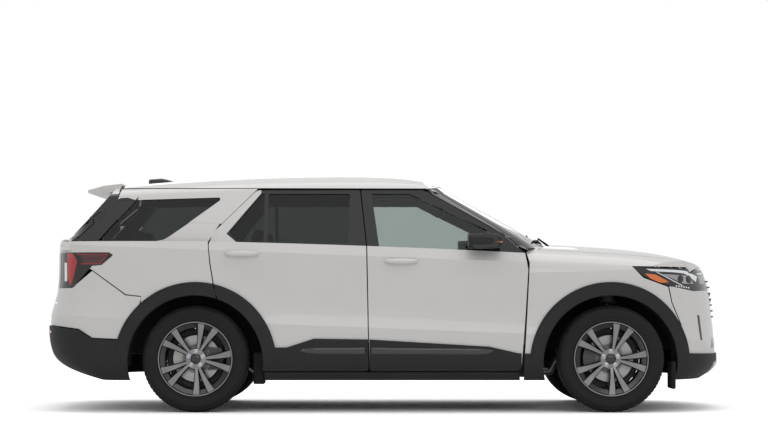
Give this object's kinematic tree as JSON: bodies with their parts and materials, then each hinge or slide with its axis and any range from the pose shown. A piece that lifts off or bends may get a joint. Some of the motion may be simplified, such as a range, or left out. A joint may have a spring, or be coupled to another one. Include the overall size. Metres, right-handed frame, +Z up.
{
  "type": "sport utility vehicle",
  "caption": "Family sport utility vehicle with side doors, bonnet and liftgate that open, front wheels that steer, and a hollow cabin with rows of seats.",
  "frame": {"origin": "on the floor, under the middle of the vehicle's length and width", "axes": "+X towards the nose, +Y to the vehicle's left, +Z up"},
  "size_m": [5.0652, 2.26, 1.7625],
  "materials": {
    "body_paint": "warm pale grey paint, gloss",
    "structure_paint": "thin satin paint on the hidden body structure",
    "dark_plastic": "grained dark grey plastic",
    "gloss_black": "gloss black",
    "side_glass": "dark tinted glass",
    "clear_glass": "clear green tinted glass",
    "lamp_clear": "clear moulded lens",
    "lamp_red": "red moulded lens",
    "tyre": "black rubber",
    "wheel_alloy": "dark grey machined alloy",
    "cast_parts": "cast and forged running gear",
    "engine_block": "cast engine, closed in",
    "exhaust_steel": "stainless pipe",
    "seat_cover": "dark seat cover",
    "dash_plastic": "soft dark dashboard skin"
  },
  "bodies": {
    "root": {"underbody": "structure_paint", "side_frames": "structure_paint", "roof": "body_paint", "front_wings": "body_paint", "bumpers": "body_paint", "grille": "gloss_black", "headlamps": "lamp_clear", "rear_quarters": "body_paint", "dark_trim": "dark_plastic", "tail_lamps": "lamp_red", "fixed_glass": "clear_glass", "dashboard": "dash_plastic", "engine": "engine_block", "front_seats": "seat_cover", "rear_seats": "seat_cover", "suspension": "cast_parts", "exhaust": "exhaust_steel", "arch_liners": "dark_plastic"},
    "door_front_left": {"door_front_left": "body_paint", "door_trim_front_left": "gloss_black", "glass_front_left": "clear_glass"},
    "door_front_right": {"door_front_right": "body_paint", "door_trim_front_right": "gloss_black", "glass_front_right": "clear_glass"},
    "door_rear_left": {"door_rear_left": "body_paint", "door_trim_rear_left": "gloss_black", "glass_rear_left": "side_glass"},
    "door_rear_right": {"door_rear_right": "body_paint", "door_trim_rear_right": "gloss_black", "glass_rear_right": "side_glass"},
    "bonnet": {"bonnet": "body_paint"},
    "liftgate": {"liftgate": "body_paint", "liftgate_glass": "side_glass", "gate_lamps": "lamp_red"},
    "knuckle_left": {"knuckle_left": "cast_parts"},
    "knuckle_right": {"knuckle_right": "cast_parts"},
    "wheel_front_left": {"tyre_front_left": "tyre", "rim_front_left": "wheel_alloy"},
    "wheel_front_right": {"tyre_front_right": "tyre", "rim_front_right": "wheel_alloy"},
    "wheel_rear_left": {"tyre_rear_left": "tyre", "rim_rear_left": "wheel_alloy"},
    "wheel_rear_right": {"tyre_rear_right": "tyre", "rim_rear_right": "wheel_alloy"},
    "steering_wheel": {"steering_wheel": "dash_plastic"}
  },
  "joints": [
    {"name": "door_front_left_swing", "type": "hinge", "parent": "root", "child": "door_front_left", "pos_m": [0.928, 0.95, 0.81], "axis": [0, 0, -1], "range_deg": [0, 65]},
    {"name": "door_front_right_swing", "type": "hinge", "parent": "root", "child": "door_front_right", "pos_m": [0.928, -0.95, 0.81], "axis": [0, 0, 1], "range_deg": [0, 65]},
    {"name": "door_rear_left_swing", "type": "hinge", "parent": "root", "child": "door_rear_left", "pos_m": [-0.228, 0.957, 0.81], "axis": [0, 0, -1], "range_deg": [0, 65]},
    {"name": "door_rear_right_swing", "type": "hinge", "parent": "root", "child": "door_rear_right", "pos_m": [-0.228, -0.957, 0.81], "axis": [0, 0, 1], "range_deg": [0, 65]},
    {"name": "bonnet_lift", "type": "hinge", "parent": "root", "child": "bonnet", "pos_m": [1.04, 0, 1.14], "axis": [0, -1, 0], "range_deg": [0, 45]},
    {"name": "liftgate_lift", "type": "hinge", "parent": "root", "child": "liftgate", "pos_m": [-1.892, 0, 1.63], "axis": [0, 1, 0], "range_deg": [0, 80]},
    {"name": "steer_left", "type": "hinge", "parent": "root", "child": "knuckle_left", "pos_m": [1.6425, 0.79, 0.2], "axis": [0, -0.1888, 0.982], "range_deg": [-33, 33]},
    {"name": "steer_right", "type": "hinge", "parent": "root", "child": "knuckle_right", "pos_m": [1.6425, -0.79, 0.2], "axis": [0, 0.1888, 0.982], "range_deg": [-33, 33]},
    {"name": "steering_wheel_turn", "type": "hinge", "parent": "root", "child": "steering_wheel", "pos_m": [0.47, 0.4, 1.01], "axis": [-0.9063, 0, 0.4226], "range_deg": [-462, 462]},
    {"name": "wheel_front_left_spin", "type": "hinge", "parent": "knuckle_left", "child": "wheel_front_left", "pos_m": [1.6425, 0.85, 0.388], "axis": [0, 1, 0], "continuous": true},
    {"name": "wheel_front_right_spin", "type": "hinge", "parent": "knuckle_right", "child": "wheel_front_right", "pos_m": [1.6425, -0.85, 0.388], "axis": [0, 1, 0], "continuous": true},
    {"name": "wheel_rear_left_spin", "type": "hinge", "parent": "root", "child": "wheel_rear_left", "pos_m": [-1.3825, 0.85, 0.388], "axis": [0, 1, 0], "continuous": true},
    {"name": "wheel_rear_right_spin", "type": "hinge", "parent": "root", "child": "wheel_rear_right", "pos_m": [-1.3825, -0.85, 0.388], "axis": [0, 1, 0], "continuous": true}
  ],
  "couplings": [
    {"joint": "steer_right", "follows": "steer_left", "ratio": 1},
    {"joint": "steering_wheel_turn", "follows": "steer_left", "ratio": 14}
  ]
}
